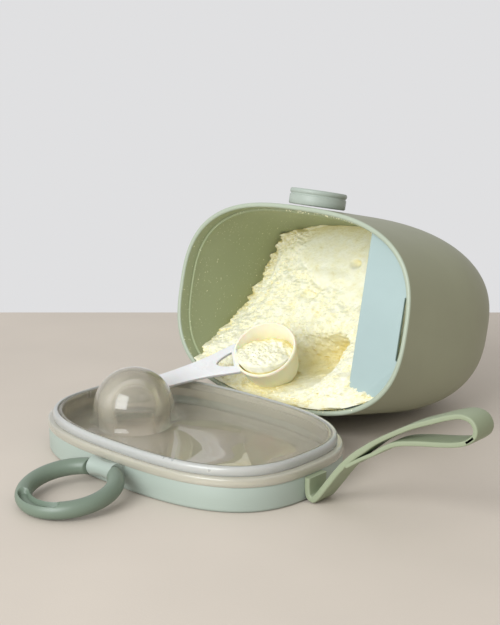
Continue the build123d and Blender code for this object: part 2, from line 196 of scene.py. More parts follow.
def dusted(name, color, roughness=0.5):
    """The tub's inner wall: moulded plastic, with powder sticking to it near the mouth's top."""
    made = moulded(name, color, roughness)
    tree = made.node_tree
    shader = tree.nodes["Principled BSDF"]
    plain = shader.inputs["Base Color"].links[0].from_socket
    grains = noise_node(tree, 900.0, 2.0, 0.7)
    patches = noise_node(tree, 70.0, 3.0)
    split = add_node(tree, "ShaderNodeSeparateXYZ")
    tree.links.new(place_socket(tree), split.inputs["Vector"])
    near_top = range_node(tree, split.outputs["Z"], (MOUTH.z + 0.036, MOUTH.z + 0.043))
    right_half = range_node(tree, split.outputs["X"], (MOUTH.x - 0.035, MOUTH.x + 0.005))
    both = add_node(tree, "ShaderNodeMath", operation="MULTIPLY")
    tree.links.new(near_top, both.inputs[0])
    tree.links.new(right_half, both.inputs[1])
    cover = weighted_sum(tree, both.outputs["Value"], 0.17, grains)
    cover = weighted_sum(tree, patches, 0.16, cover)
    blend = add_node(tree, "ShaderNodeMix", data_type="RGBA")
    tree.links.new(range_node(tree, cover, (0.74, 0.80)), blend.inputs["Factor"])
    tree.links.new(plain, blend.inputs[6])
    blend.inputs[7].default_value = (0.86, 0.84, 0.58, 1)
    tree.links.new(blend.outputs[2], shader.inputs["Base Color"])
    return made


def powder_stuff(name):
    """Milk powder: pale cream with random tone, painted yellow shade in its creases and in the scooped
    hollow, with a fine sandy grain.
    """
    made, tree, shader = material(name)
    cream = ramp_node(tree, noise_node(tree, 210.0, 6.0, 0.62), [
        (0.28, (0.76, 0.71, 0.44)), (0.40, (0.84, 0.82, 0.60)), (0.60, (0.87, 0.865, 0.71))])
    # Painted shade: where occlusion is high, the powder is coloured yellower and darker.
    shadow = tree.nodes.new("ShaderNodeAmbientOcclusion")
    shadow.samples = 8
    shadow.inputs["Distance"].default_value = 0.012
    crease_painted_shade = ramp_node(tree, shadow.outputs["AO"], [(0.25, (0.92, 0.82, 0.50)), (0.70, (1.0, 0.99, 0.97))])
    away = add_node(tree, "ShaderNodeVectorMath", operation="DISTANCE")
    away.inputs[1].default_value = TUB @ Vector((3, -27, -36))        # centre of the hollow the scoop has dug, painted yellower and darker as shade
    tree.links.new(place_socket(tree), away.inputs[0])
    hollow_painted_shade = ramp_node(tree, away.outputs["Value"], [(0.007, (0.97, 0.90, 0.66)), (0.018, (1.0, 1.0, 1.0))])
    color = product_of_colors(tree, product_of_colors(tree, cream, crease_painted_shade), hollow_painted_shade)
    tree.links.new(color, shader.inputs["Base Color"])
    bump_link(tree, shader, noise_node(tree, 1500.0, 3.0, 0.7), 0.0004, 0.6)
    shader.inputs["Roughness"].default_value = 0.95
    shader.inputs["Specular IOR Level"].default_value = 0.15
    shader.inputs["Subsurface Weight"].default_value = 0.12
    shader.inputs["Subsurface Scale"].default_value = 0.002
    shader.inputs["Subsurface Radius"].default_value = (1.0, 0.85, 0.4)
    return made


def clear_stuff(name, color, roughness, transmission=1.0, ior=1.49, haze=0.0, body=1.0):
    """Clear or milky plastic: see-through face on, glossy and denser at grazing angles."""
    made, tree, shader = material(name)
    shader.inputs["Base Color"].default_value = (*color, 1)
    shader.inputs["Transmission Weight"].default_value = transmission
    shader.inputs["IOR"].default_value = ior
    smear = range_node(tree, noise_node(tree, 90.0, 4.0), end=(roughness, roughness + 0.05 + haze))
    tree.links.new(smear, shader.inputs["Roughness"])
    if body < 1.0:
        shader.inputs["Coat Weight"].default_value = 1.0
        shader.inputs["Coat Roughness"].default_value = roughness
        shader.inputs["Coat IOR"].default_value = 1.6
        edge = add_node(tree, "ShaderNodeFresnel", IOR=1.8)
        dense = range_node(tree, edge.outputs["Fac"], (0.0, 0.6), (body, 1.0))
        tree.links.new(dense, shader.inputs["Alpha"])
    return made


MATERIALS = {
    # One sage plastic split into lit and shaded copies: the outside is painted darker and warmer as shade,
    # the inside olive as shade, and the rim paler as painted light.
    "tub": moulded("tub_sage_painted_shade", (0.30, 0.31, 0.21), 0.46),
    "tub_inside": dusted("tub_inside_sage_painted_shade", (0.33, 0.37, 0.22)),
    "tub_rim": moulded("tub_rim_sage_painted_light", (0.37, 0.42, 0.325), 0.38),
    "knob": moulded("knob_sage", (0.34, 0.39, 0.34), 0.44),
    "leveller": moulded("leveller_blue", (0.35, 0.45, 0.44), 0.38),
    "band": moulded("band_sage", (0.34, 0.395, 0.345), 0.38),
    "ring": moulded("ring_sage", (0.150, 0.195, 0.145), 0.38),
    "strap": moulded("strap_silicone", (0.27, 0.31, 0.20), 0.55, 0.00003),
    "scoop": moulded("scoop_white", (0.66, 0.66, 0.655), 0.28, 0.000008, 0.15),
    "cup": moulded("scoop_cup_white", (0.82, 0.79, 0.62), 0.30, 0.000008, 0.5),
    "steel": moulded("pin_steel", (0.55, 0.55, 0.55), 0.30),
    "seal": clear_stuff("seal_silicone", (0.70, 0.71, 0.68), 0.22, 0.32, 1.41, 0.1, 0.66),
    "flange": clear_stuff("tray_flange_clear", (0.80, 0.77, 0.64), 0.14, 0.40, 1.49, 0.1, 0.66),
    "clear": clear_stuff("tray_clear", (0.95, 0.90, 0.76), 0.010, 0.72, 1.49, 0.015, 0.24),
    "powder": powder_stuff("milk_powder"),
}
MATERIALS["steel"].node_tree.nodes["Principled BSDF"].inputs["Metallic"].default_value = 1.0


# ---- Mesh helpers ---------------------------------------------------------------------
def new_piece(name, verts, faces, place, look, sharp=38, slots=None):
    """Mesh object from local millimetres, smooth but for edges sharper than an angle."""
    mesh = bpy.data.meshes.new(name)
    mesh.from_pydata([tuple(v) for v in verts], [], [tuple(f) for f in faces])
    mesh.transform(place)
    looks = look if isinstance(look, list) else [look]
    for one in looks:
        mesh.materials.append(MATERIALS[one])
    if slots is not None:
        mesh.polygons.foreach_set("material_index", slots)
    shape = bmesh.new()
    shape.from_mesh(mesh)
    bmesh.ops.recalc_face_normals(shape, faces=shape.faces)
    shape.to_mesh(mesh)
    shape.free()
    mesh.shade_smooth()
    mesh.set_sharp_from_angle(angle=math.radians(sharp))
    made = bpy.data.objects.new(name, mesh)
    bpy.context.scene.collection.objects.link(made)
    return made


def oval_point(half_a, half_b, turn):
    x, y = math.cos(turn), math.sin(turn)
    reach = (abs(x) ** OVAL_POWER + abs(y) ** OVAL_POWER) ** (-1 / OVAL_POWER)
    return half_a * reach * x, half_b * reach * y


def oval_rings(rings, around=AROUND):
    """Points of a stack of oval outlines, each (half_a, half_b, z)."""
    verts = []
    for half_a, half_b, z in rings:
        for step in range(around):
            x, y = oval_point(half_a, half_b, 2 * math.pi * step / around)
            verts.append((x, y, z))
    return verts


def band_faces(count, around=AROUND, closed=False, first=0):
    """Quads between neighbouring rings."""
    faces = []
    for ring in range(count if closed else count - 1):
        a, b = first + ring * around, first + (ring + 1) % count * around
        for step in range(around):
            nxt = (step + 1) % around
            faces.append((a + step, a + nxt, b + nxt, b + step))
    return faces


def tube_faces(count, around=AROUND, first=0):
    """Quads between neighbouring rings, and a face over the first and the last ring."""
    last = first + (count - 1) * around
    faces = band_faces(count, around, first=first)
    faces.append(tuple(range(first, first + around)))
    faces.append(tuple(range(last, last + around)))
    return faces


def arc(x, y, radius, start, end, steps):
    """Points of an arc about (x, y), from a start to an end angle in degrees."""
    turns = [math.radians(mix(start, end, step / steps)) for step in range(steps + 1)]
    return [(x + radius * math.cos(turn), y + radius * math.sin(turn)) for turn in turns]


def oval_profile(name, half_a, half_b, profile, place, look, slots=None, sharp=38):
    """Closed profile of (inset, z) points carried round an oval."""
    rings = [(half_a - inset, half_b - inset, z) for inset, z in profile]
    faces = band_faces(len(rings), closed=True)
    if slots is not None:
        slots = [slots(index // AROUND) for index in range(len(faces))]
    return new_piece(name, oval_rings(rings), faces, place, look, sharp, slots)


def lathe(profile, around=96):
    """Points and faces of (radius, z) points turned about Z, both ends closed."""
    verts = []
    for radius, z in profile:
        for step in range(around):
            turn = 2 * math.pi * step / around
            verts.append((radius * math.cos(turn), radius * math.sin(turn), z))
    return verts, tube_faces(len(profile), around)


def mix(a, b, share):
    return a + (b - a) * share


def smooth(share):
    share = min(max(share, 0.0), 1.0)
    return share * share * (3 - 2 * share)


def finish_piece(piece, body, slot, *nodes):
    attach(piece, body)
    if nodes:
        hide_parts(*nodes)
    return piece


# ---- Tub ------------------------------------------------------------------------------
def tub_half_size(depth):
    share = min(max((depth - STRAIGHT_DEPTH) / ROUND_DEPTH, 0.0), 1.0)
    round_in = ROUND_INSET * (1 - (1 - share ** ROUND_POWER) ** (1 / ROUND_POWER))
    half_a = TUB_A - depth * math.tan(math.radians(TUB_TAPER_A)) - round_in
    half_b = TUB_B - depth * math.tan(math.radians(TUB_TAPER_B)) - round_in
    return half_a, half_b


def tub_depths(steps):
    """Depths from the rim to the base, packed where the wall rounds over."""
    depths = [STRAIGHT_DEPTH * step / 10 for step in range(10)]
    for step in range(steps + 1):
        share = math.sin(math.pi / 2 * step / steps) ** (2 / ROUND_POWER)
        depths.append(STRAIGHT_DEPTH + ROUND_DEPTH * share)
    return depths


def wall_size(depth, inset):
    scale = TUB_LENGTH / (TUB_LENGTH - TUB_WALL)
    half_a, half_b = tub_half_size(min(depth * scale, TUB_LENGTH))
    return half_a - inset, half_b - inset


def cap_rings(half_a, half_b, z):
    return [(half_a * share, half_b * share, z) for share in (0.97, 0.8, 0.5, 0.2, 0.02)]


def make_tub():
    outer = [(*tub_half_size(depth), -depth) for depth in reversed(tub_depths(22))]
    outer = list(reversed(cap_rings(*outer[0]))) + outer[:-1]
    rim = [(0.0, -3.0), (0.0, -1.6)] + arc(RIM_ROUND, -RIM_ROUND, RIM_ROUND, 180, 90, 6)
    lip = arc(BORE_INSET - RIM_ROUND, -RIM_ROUND, RIM_ROUND, 90, 0, 6)
    lip += [(BORE_INSET, -3.5), (BORE_INSET, -BORE_DEPTH), (TUB_WALL + 0.22, -BORE_DEPTH)]
    mouth = [(TUB_A - inset, TUB_B - inset, z) for inset, z in rim + lip]
    scale = (TUB_LENGTH - TUB_WALL) / TUB_LENGTH
    inner = []
    for depth in tub_depths(18):
        if depth * scale > BORE_DEPTH:
            half_a, half_b = tub_half_size(depth)
            inner.append((half_a - TUB_WALL, half_b - TUB_WALL, -depth * scale))
    inner += cap_rings(*inner[-1])
    rings = outer + mouth + inner
    faces = tube_faces(len(rings))
    first_rim, first_inner = len(outer) + 3, len(outer) + len(rim) + 5
    slots = [0] * first_rim + [2] * (first_inner - first_rim) + [1] * (len(rings) - 1 - first_inner)
    slots = [slot for slot in slots for _ in range(AROUND)] + [0, 1]
    return new_piece("tub_shell", oval_rings(rings), faces, TUB, ["tub", "tub_inside", "tub_rim"], 32, slots)


def rounded_block(name, x_range, y_range, z_range, place, look, radius=0.4):
    """Block with rounded edges."""
    shape = bmesh.new()
    bmesh.ops.create_cube(shape, size=1.0)
    for vert in shape.verts:
        vert.co.x = mix(*x_range, vert.co.x + 0.5)
        vert.co.y = mix(*y_range, vert.co.y + 0.5)
        vert.co.z = mix(*z_range, vert.co.z + 0.5)
    bmesh.ops.bevel(shape, geom=shape.edges[:], offset=radius, segments=3, affect="EDGES", profile=0.5)
    verts = [vert.co.copy() for vert in shape.verts]
    faces = [[vert.index for vert in face.verts] for face in shape.faces]
    shape.free()
    return new_piece(name, verts, faces, place, look)


def knuckle(name, x_from, x_to, y, z, radius, place, look):
    """Hinge barrel parallel to X with rounded ends."""
    soft = 0.4
    verts, faces = lathe([(radius - soft, x_from), (radius, x_from + soft),
                          (radius, x_to - soft), (radius - soft, x_to)], 40)
    turn = Matrix.Translation((0, y, z)) @ Matrix.Rotation(math.pi / 2, 4, "Y")
    verts = [turn @ Vector(v) for v in verts]
    return new_piece(name, verts, faces, place, look)


def make_tub_hinge():
    half = KNUCKLE_HALF
    barrel = knuckle("tub_hinge_barrel", -half, half, -HINGE_DROP, HINGE_PROUD, KNUCKLE_RADIUS, TUB, "tub")
    web = rounded_block("tub_hinge_web", (-half, half), (-HINGE_DROP - 1.4, -TUB_B + 0.3),
                        (-7.0, HINGE_PROUD), TUB, "tub", 0.5)
    return [barrel, web]


def make_knob():
    """Round cap with a groove round its side and a slightly dished top."""
    wide, groove, edge, foot = 13.4, 12.95, 0.8, -7.5
    profile = [(wide - 0.5, foot), (wide, foot + 0.5), (wide, -4.9), (wide, -3.1), (wide - 0.3, -2.9),
               (groove, -2.6), (wide - 0.3, -2.2), (wide, -2.0), (wide + 0.1, -1.2), (wide + 0.05, -0.7)]
    profile += arc(wide - edge, -edge, edge, 0, 90, 6)[1:]
    profile += [(wide - 1.5, 0.0), (wide - 1.8, -0.25), (6.0, -0.3)]
    verts, faces = lathe(profile, 128)
    place = placed(MOUTH + UP * KNOB_TOP * MM - OUT * KNOB_BACK * MM, X_AXIS, -OUT, UP)
    return new_piece("latch_knob_cap", verts, faces, place, "knob", 50)


def outline_plate(name, outline, thickness, place, look, bevel, holes=()):
    """Flat plate from a closed outline, with holes, rounded edges and its top face at height 0."""
    curve = bpy.data.curves.new(name, "CURVE")
    curve.dimensions = "2D"
    curve.fill_mode = "BOTH"
    for points in (outline, *holes):
        line = curve.splines.new("POLY")
        line.points.add(len(points) - 1)
        for point, (x, y) in zip(line.points, points):
            point.co = (x, y, 0, 1)
        line.use_cyclic_u = True
    curve.extrude = thickness / 2 - bevel
    curve.bevel_depth = bevel
    curve.bevel_resolution = 3
    curve.offset = -bevel
    made = bpy.data.objects.new(name, curve)
    bpy.context.scene.collection.objects.link(made)
    bpy.context.view_layer.update()
    graph = bpy.context.evaluated_depsgraph_get()
    mesh = bpy.data.meshes.new_from_object(made.evaluated_get(graph))
    verts = [v.co - Vector((0, 0, thickness / 2)) for v in mesh.vertices]
    faces = [tuple(p.vertices) for p in mesh.polygons]
    bpy.data.objects.remove(made)
    bpy.data.curves.remove(curve)
    plate = new_piece(name, verts, faces, place, look, 30)
    shape = bmesh.new()
    shape.from_mesh(plate.data)
    bmesh.ops.remove_doubles(shape, verts=shape.verts, dist=0.00001)
    bmesh.ops.recalc_face_normals(shape, faces=shape.faces)
    shape.to_mesh(plate.data)
    shape.free()
    return plate


def make_leveller():
    inset, below_rim, thickness, ease, count = 2.6, 4.8, 1.6, 1.2, 400
    outline = []
    for step in range(count):
        turn = math.pi * (step / (count - 1) - 0.5)
        x, y = oval_point(TUB_A - inset, TUB_B - inset, turn)
        if x < LEVELLER_CHORD:
            continue
        if abs(y) < LEVELLER_CUT_HALF:
            back_out = smooth((abs(y) - LEVELLER_CUT_HALF + ease) / ease)
            x = min(x, mix(LEVELLER_CUT, x, back_out))
        outline.append((x, y))
    end = outline[-1][1]
    outline = [(LEVELLER_CHORD, -end)] + outline + [(LEVELLER_CHORD, end)]
    place = TUB @ Matrix.Translation((0, 0, -below_rim))
    return outline_plate("leveller", outline, thickness, place, "leveller", 0.35)


# ---- Powder ---------------------------------------------------------------------------
# Depth below the rim of the powder's face at places (x, y) across the tub's section.
POWDER_FACE = [
    (-52, -34, 4), (-59, -28, 17), (-63, -19.5, 33), (-66, -8, 49), (-66, 7, 58), (-62, 22, 62),
    (-54, 31, 58), (-41, 38, 61), (-28, 42, 64), (-8, 43, 64), (15, 43, 60), (38, 42, 54),
    (-54, -37, 0.6), (-44, -41, 0.6), (-31, -43, 0.6), (-12, -44, 0.6), (6, -44, 0.6), (24, -42.5, 0.6),
    (42, -38, 0.8), (56, -30, 8), (66, 0, 30), (60, 28, 42),
    (-44, -27, 13), (-45, -12, 33), (-42, 8, 47), (-36, 26, 55),
    (-30, -31, 13), (-26, -14, 33), (-18, 4, 44), (-12, 22, 53),
    (-12, -38, 9), (-12, -33, 20), (-5, -22, 32), (2, -8, 38), (8, 10, 46), (10, 28, 54),
    (9, -33, 17), (12, -24, 31), (16, -12, 34), (24, -36, 6), (25, -25, 14), (28, -12, 26),
    (34, 4, 36), (34, 22, 46), (42, -22, 11), (46, -6, 24), (46, 14, 36),
]


def thin_plate(points):
    """Smooth surface through (x, y, value) points, as a function of arrays x and y."""
    data = np.array(points, float)
    place = data[:, :2]

    def kernel(square):
        return 0.5 * square * np.log(square + 1e-9)

    gaps = ((place[:, None, :] - place[None, :, :]) ** 2).sum(-1)
    count = len(data)
    flat = np.hstack([np.ones((count, 1)), place])
    system = np.zeros((count + 3, count + 3))
    system[:count, :count] = kernel(gaps) + np.eye(count) * 8.0
    system[:count, count:] = flat
    system[count:, :count] = flat.T
    answer = np.linalg.solve(system, np.concatenate([data[:, 2], np.zeros(3)]))

    def surface(x, y):
        value = answer[count] + answer[count + 1] * x + answer[count + 2] * y
        for (px, py), weight in zip(place, answer[:count]):
            value = value + weight * kernel((x - px) ** 2 + (y - py) ** 2)
        return value

    return surface


def clumps(x, y, z, rough):
    """Height of the powder's lumps, crumbs and grains at a place, in millimetres."""
    swell = noise.noise(Vector((x, y, z)) * 0.055)
    lump = noise.fractal(Vector((x, y, z)) * 0.15, 0.9, 2.1, 3)
    crumb = 0.60 - noise.voronoi(Vector((x + 40, y, z)) * 0.46)[0][0]
    small = 0.5 - noise.voronoi(Vector((x, y + 30, z)) * 1.2)[0][0]
    grain = noise.noise(Vector((x, y + 70, z)) * 1.9)
    coarse = 2.0 * lump + 2.2 * max(crumb, 0.0) + 0.9 * small
    return 0.9 * swell + rough * coarse + (0.05 + 0.25 * rough) * grain


# Hollows and mounds pressed into the face: (x, y, radius along, radius across, height).
POWDER_MARKS = [
    (4, -25, 15, 11, -14.0), (10, -18, 8, 7, -6.0), (-20, 4, 6, 2.6, -2.2), (24, 32, 3.2, 2.6, -3.6),
    (-2, 23, 3.4, 2.2, -3.2), (12, 26, 5, 3, 1.6), (8, -40, 18, 4, 2.6), (33, -31, 9, 7, 3.0),
    (-30, 12, 8, 3, -2.0), (14, 4, 6, 3, -1.8), (-44, 3, 5, 6, 1.8), (-14, 14, 12, 4, 1.6),
]


def pressed(x, y):
    """Height added by the hollows and mounds at a place."""
    total = 0.0
    for mark_x, mark_y, along, across, height in POWDER_MARKS:
        reach = math.hypot((x - mark_x) / along, (y - mark_y) / across)
        total += height * (1 - smooth(reach * 0.85 - 0.15))
    return total


def powder_grid(grid_s, grid_t, width, surface):
    """Places on the powder's face, carried out to the tub's wall at their own depth."""
    first_a, first_b, into_wall = 66.5, 44.0, 0.25
    x, y = first_a * grid_s * width, first_b * grid_t
    for _ in range(3):
        depth = np.clip(surface(x, y), POWDER_LEAST, POWDER_MOST)
        half = np.array([wall_size(d, TUB_WALL) for d in depth.ravel()]) + into_wall
        x = half[:, 0].reshape(depth.shape) * grid_s * width
        y = half[:, 1].reshape(depth.shape) * grid_t
    return x, y, np.clip(surface(x, y), POWDER_LEAST, POWDER_MOST)


def powder_lift(x, y, depth, to_side, to_end):
    """Height of lumps, hollows and ragged edge at a place, with its shares of the way to the walls."""
    ragged = 7 * noise.noise(Vector((x * 0.09, y * 0.09, 3.0)))
    calm = smooth((y - 2 + 0.30 * x + ragged) / 9) * smooth((x + 46 + ragged) / 12)
    edge = min(smooth(to_side / 0.03), smooth(to_end / 0.03))
    lift = clumps(x, y, depth, mix(1.0, 0.10, calm)) * mix(0.75, 1.0, edge) + pressed(x, y) * edge
    ridge = smooth((0.3 - calm) / 0.3) - smooth((calm - 0.3) / 0.4) * (1 - calm)
    shore = 1 - smooth(to_side / 0.13)
    lift += 1.2 * ridge + 3.0 * shore * noise.noise(Vector((x * 0.1, y * 0.33, 9.0)))
    return lift + 1.6 * shore * noise.noise(Vector((x * 0.2, y * 0.9, 19.0)))


def make_powder():
    columns, rows, packed = 360, 300, 0.35
    s = np.linspace(-1, 1, columns)
    even = np.linspace(-1, 1, rows)
    t = packed * np.sin(even * math.pi / 2) + (1 - packed) * even
    grid_s, grid_t = np.meshgrid(s, t)
    width = (1 - np.clip(np.abs(grid_t), 0, 1) ** OVAL_POWER) ** (1 / OVAL_POWER)
    x, y, depth = powder_grid(grid_s, grid_t, width, thin_plate(POWDER_FACE))
    verts, faces = [], []
    for row in range(rows):
        for column in range(columns):
            here = (x[row, column], y[row, column], depth[row, column])
            lift = powder_lift(*here, 1 - abs(s[column]), 1 - abs(t[row]))
            verts.append((here[0], here[1], min(lift - here[2], POWDER_PROUD)))
    for row in range(rows - 1):
        for column in range(columns - 1):
            a = row * columns + column
            faces.append((a, a + 1, a + columns + 1, a + columns))
    return close_powder(verts, faces, rows, columns)


def close_powder(verts, faces, rows, columns):
    """Skirt from the powder's edge down the inner wall to one point deep in the tub."""
    edge = [row * columns for row in range(rows - 1, 0, -1)]
    edge += list(range(columns - 1))
    edge += [row * columns + columns - 1 for row in range(rows - 1)]
    edge += [(rows - 1) * columns + column for column in range(columns - 1, 0, -1)]
    narrowed = 0.62
    first = len(verts)
    verts += [(verts[index][0] * narrowed, verts[index][1] * narrowed, -POWDER_MOST) for index in edge]
    deep = len(verts)
    verts.append((0, 0, -POWDER_MOST))
    count = len(edge)
    for step in range(count):
        nxt = (step + 1) % count
        faces.append((edge[step], edge[nxt], first + nxt, first + step))
        faces.append((first + step, first + nxt, deep))
    return new_piece("powder_heap", verts, faces, TUB, "powder", 180)


def make_crumbs():
    """Loose grains on the rim and the wall round the heap's edge."""
    random.seed(11)
    verts, faces = [], []
    shape = bmesh.new()
    bmesh.ops.create_icosphere(shape, subdivisions=1, radius=1.0)
    ball = [vert.co.copy() for vert in shape.verts]
    ball_faces = [[vert.index for vert in face.verts] for face in shape.faces]
    shape.free()
    count, lowest, spread = 420, 268, 17           # the last two in degrees round the oval
    for _ in range(count):
        turn = math.radians(random.gauss(lowest, spread))
        depth = abs(random.gauss(0, 2.2))
        inset = BORE_INSET if depth < BORE_DEPTH else TUB_WALL
        if depth < 0.4:
            inset = random.uniform(0.9, BORE_INSET)
            depth = 0.0
        x, y = oval_point(TUB_A - inset, TUB_B - inset, turn)
        size = random.uniform(0.12, 0.34)
        centre = Vector((x, y + size * 0.6, -depth))
        first = len(verts)
        verts += [centre + point * size * random.uniform(0.75, 1.2) for point in ball]
        faces += [[first + index for index in face] for face in ball_faces]
    return new_piece("powder_crumbs", verts, faces, TUB, "powder", 60)


# ---- Lid ------------------------------------------------------------------------------
def make_lid_band():
    wall, lip, rim_width, foot = 2.5, 2.0, 8.3, 1.5
    profile = [(rim_width, 0.0)] + arc(foot, foot, foot, 270, 180, 7)
    profile += [(0.0, 5.0), (0.0, BAND_TOP - 0.5), (0.15, BAND_TOP - 0.15), (0.5, BAND_TOP)]
    profile += [(wall, BAND_TOP), (wall, 5.0), (wall, lip), (rim_width, lip)]
    return oval_profile("lid_band", BAND_A, BAND_B, profile, LID, "band")


def make_seal():
    low, thick, crown = FLANGE_TOP, 1.9, 1.5
    profile = [(thick, low), (0.5, low), (0.15, low + 0.15), (0.0, low + 0.5), (0.0, SEAL_TOP - 1.7)]
    profile += arc(crown, SEAL_TOP - crown, crown, 180, 90, 7)[1:]
    profile += [(thick - 0.3, SEAL_TOP), (thick, SEAL_TOP - 0.3)]
    return oval_profile("seal_ring", SEAL_A, SEAL_B, profile, LID, "seal")


def make_flange():
    low, width, crown = BAND_TOP, 4.6, 1.0
    profile = [(width, low), (0.4, low), (0.1, low + 0.1), (0.0, low + 0.4), (0.0, FLANGE_TOP - 1.1)]
    profile += arc(crown, FLANGE_TOP - crown, crown, 180, 90, 6)[1:]
    profile += [(width, FLANGE_TOP)]
    return oval_profile("tray_flange", FLANGE_A, FLANGE_B, profile, LID, "flange")


def make_tray():
    """Tray: plug wall with a rounded top, floor, and the hollow dome rising from the floor."""
    low, floor, wall, crown, middle = TRAY_LOW, TRAY_FLOOR, TRAY_WALL, 0.9, 12.0
    profile = [(0.6, low), (0.15, low + 0.2), (0.0, low + 0.7), (0.0, middle), (0.0, TRAY_TOP - 0.7)]
    profile += arc(crown, TRAY_TOP - crown, crown, 180, 0, 10)[1:]
    profile += [(wall, middle), (wall, floor + 1.2), (wall + 0.35, floor + 0.35), (wall + 1.2, floor)]
    rings = [(TRAY_A - inset, TRAY_B - inset, z) for inset, z in profile]
    steps, dome_steps = 128, 22
    verts, faces = oval_rings(rings, steps), band_faces(len(rings), steps)

    def add_dome(foot, radius):
        """Rings of a dome's foot and round, closed at its top."""
        first = len(verts)
        points = foot + arc(0, DOME_CENTRE_Z, radius, 0, 90, dome_steps)[:-1]
        for reach, z in points:
            for step in range(steps):
                turn = 2 * math.pi * step / steps
                verts.append((DOME_X + reach * math.cos(turn), reach * math.sin(turn), z))
        faces.extend(band_faces(len(points), steps, first=first))
        verts.append((DOME_X, 0, DOME_CENTRE_Z + radius))
        last = len(verts) - 1
        ring = last - steps
        for step in range(steps):
            faces.append((ring + step, ring + (step + 1) % steps, last))
        return first

    inner = DOME_RADIUS - DOME_WALL
    dome_first = add_dome([(22.7, floor), (20.8, floor + 0.2), (19.6, floor + 1.2), (18.9, floor + 3.4),
                           (18.55, floor + 5.6)], DOME_RADIUS)
    hollow_first = add_dome([(inner + 0.6, low), (inner + 0.1, low + 0.4), (inner, low + 1.0),
                             (inner, middle)], inner)
    faces.extend(annulus(verts, (len(rings) - 1) * steps, dome_first, steps))
    faces.extend(annulus(verts, 0, hollow_first, steps))
    return new_piece("tray_window", verts, faces, LID, "clear", 40)


def annulus(verts, outer, inner, steps):
    """Faces between an oval ring and a round ring off its centre, matched by direction."""
    def direction(index):
        x, y, _ = verts[index]
        return math.atan2(y, x - DOME_X) % (2 * math.pi)

    faces = []
    outside = sorted(range(outer, outer + steps), key=direction)
    inside = sorted(range(inner, inner + steps), key=direction)
    a, b = 0, 0
    while a < steps or b < steps:
        next_a = direction(outside[(a + 1) % steps]) + (2 * math.pi if a + 1 >= steps else 0)
        next_b = direction(inside[(b + 1) % steps]) + (2 * math.pi if b + 1 >= steps else 0)
        if b >= steps or (a < steps and next_a <= next_b):
            faces.append((outside[a % steps], outside[(a + 1) % steps], inside[b % steps]))
            a += 1
        else:
            faces.append((outside[a % steps], inside[(b + 1) % steps], inside[b % steps]))
            b += 1
    return faces


def make_lid_knuckles():
    made = []
    gap = 0.4
    for side, name in ((-1, "left"), (1, "right")):
        low, high = sorted((side * (KNUCKLE_HALF + gap), side * KNUCKLE_OUTER))
        made.append(knuckle(f"lid_knuckle_{name}", low, high, HINGE_Y, HINGE_Z, KNUCKLE_RADIUS, LID, "band"))
        made.append(rounded_block(f"lid_knuckle_arm_{name}", (low, high), (44.4, HINGE_Y),
                                  (8.8, BAND_TOP), LID, "band", 0.3))
    return made


# ---- Ring and its bracket -------------------------------------------------------------
PIN = Vector(JOINTS["ring_swing"]["pos_m"])
RING_SLOPE = math.asin((PIN.z / MM - RING_TUBE) / (2 * RING_RADIUS))
RING_OUTWARD = Vector((0, -math.cos(RING_SLOPE), -math.sin(RING_SLOPE)))
RING = placed(PIN + RING_OUTWARD * RING_RADIUS * MM, X_AXIS, -RING_OUTWARD, X_AXIS.cross(-RING_OUTWARD))


def make_ring():
    """Open ring with a finger groove in its upper face, its ends against the barrel."""
    around, along = 64, 260
    groove_depth, groove_half_length, groove_half_width, groove_slope = 2.5, 10.5, 2.35, 0.9
    end_shrink, end_steps = 0.93, 3.0
    verts = []
    for step in range(along + 1):
        near_end = min(smooth((step + 1.5) / end_steps), smooth((along - step + 1.5) / end_steps))
        full = mix(end_shrink, 1.0, near_end)
        for radius, height in arc(RING_RADIUS, 0, RING_TUBE, 0, 360, around)[:-1]:
            start = math.asin(RING_GAP_HALF / radius)
            angle = start + (2 * math.pi - 2 * start) * step / along
            if height > 0:
                past_end = max(abs(angle - math.pi) * RING_RADIUS - groove_half_length, 0.0)
                reach = math.hypot(past_end, radius - RING_RADIUS + 0.2)
                height -= groove_depth * smooth((groove_half_width - reach) / groove_slope)
            radius = mix(RING_RADIUS, radius, full)
            verts.append((radius * math.sin(angle), radius * math.cos(angle), height * full))
    return new_piece("finger_ring", verts, tube_faces(along + 1, around), RING, "ring", 50)


def make_bracket():
    """Waisted barrel round the ring's pin, joined to the lid's band by a web that widens."""
    end, waist, edge, columns, count = 4.2, 3.15, 0.5, 29, 48
    verts = []
    for column in range(columns):
        x = mix(-BARREL_HALF, BARREL_HALF, column / (columns - 1))
        radius = mix(waist, end, (x / BARREL_HALF) ** 2)
        radius -= 0.35 * smooth((abs(x) - BARREL_HALF + edge) / edge)
        verts += [(x, y, z) for y, z in arc(BARREL_Y, BARREL_Z, radius, 0, 360, count)[:-1]]
    faces = tube_faces(columns, count)
    first, rows, half_height, web_end, web_top = len(verts), 9, 2.9, -45.3, 10.7
    for row in range(rows):
        share = row / (rows - 1)
        y = mix(BARREL_Y, web_end, share)
        spread = 0.9 * smooth((share - 0.35) / 0.65)
        side = BARREL_HALF - 0.9 + spread
        low = BARREL_Z - half_height - spread * 0.5
        high = mix(BARREL_Z + half_height, web_top, smooth(share * 1.4))
        verts += [(-side, y, low), (side, y, low), (side, y, high), (-side, y, high)]
    faces += tube_faces(rows, 4, first)
    return new_piece("ring_barrel", verts, faces, LID, "band", 45)


# ---- Strap ----------------------------------------------------------------------------
def curve_points(points, step=0.8):
    """Catmull-Rom line through (x, z) points, sampled evenly enough."""
    line = []
    ends = [points[0]] + list(points) + [points[-1]]
    for index in range(1, len(ends) - 2):
        p0, p1, p2, p3 = (Vector(ends[index + k]) for k in (-1, 0, 1, 2))
        count = max(2, int((p2 - p1).length / step))
        for part in range(count):
            t = part / count
            line.append(0.5 * ((2 * p1) + (p2 - p0) * t + (2 * p0 - 5 * p1 + 4 * p2 - p3) * t * t
                               + (3 * p1 - p0 - 3 * p2 + p3) * t ** 3))
    line.append(Vector(points[-1]))
    return line


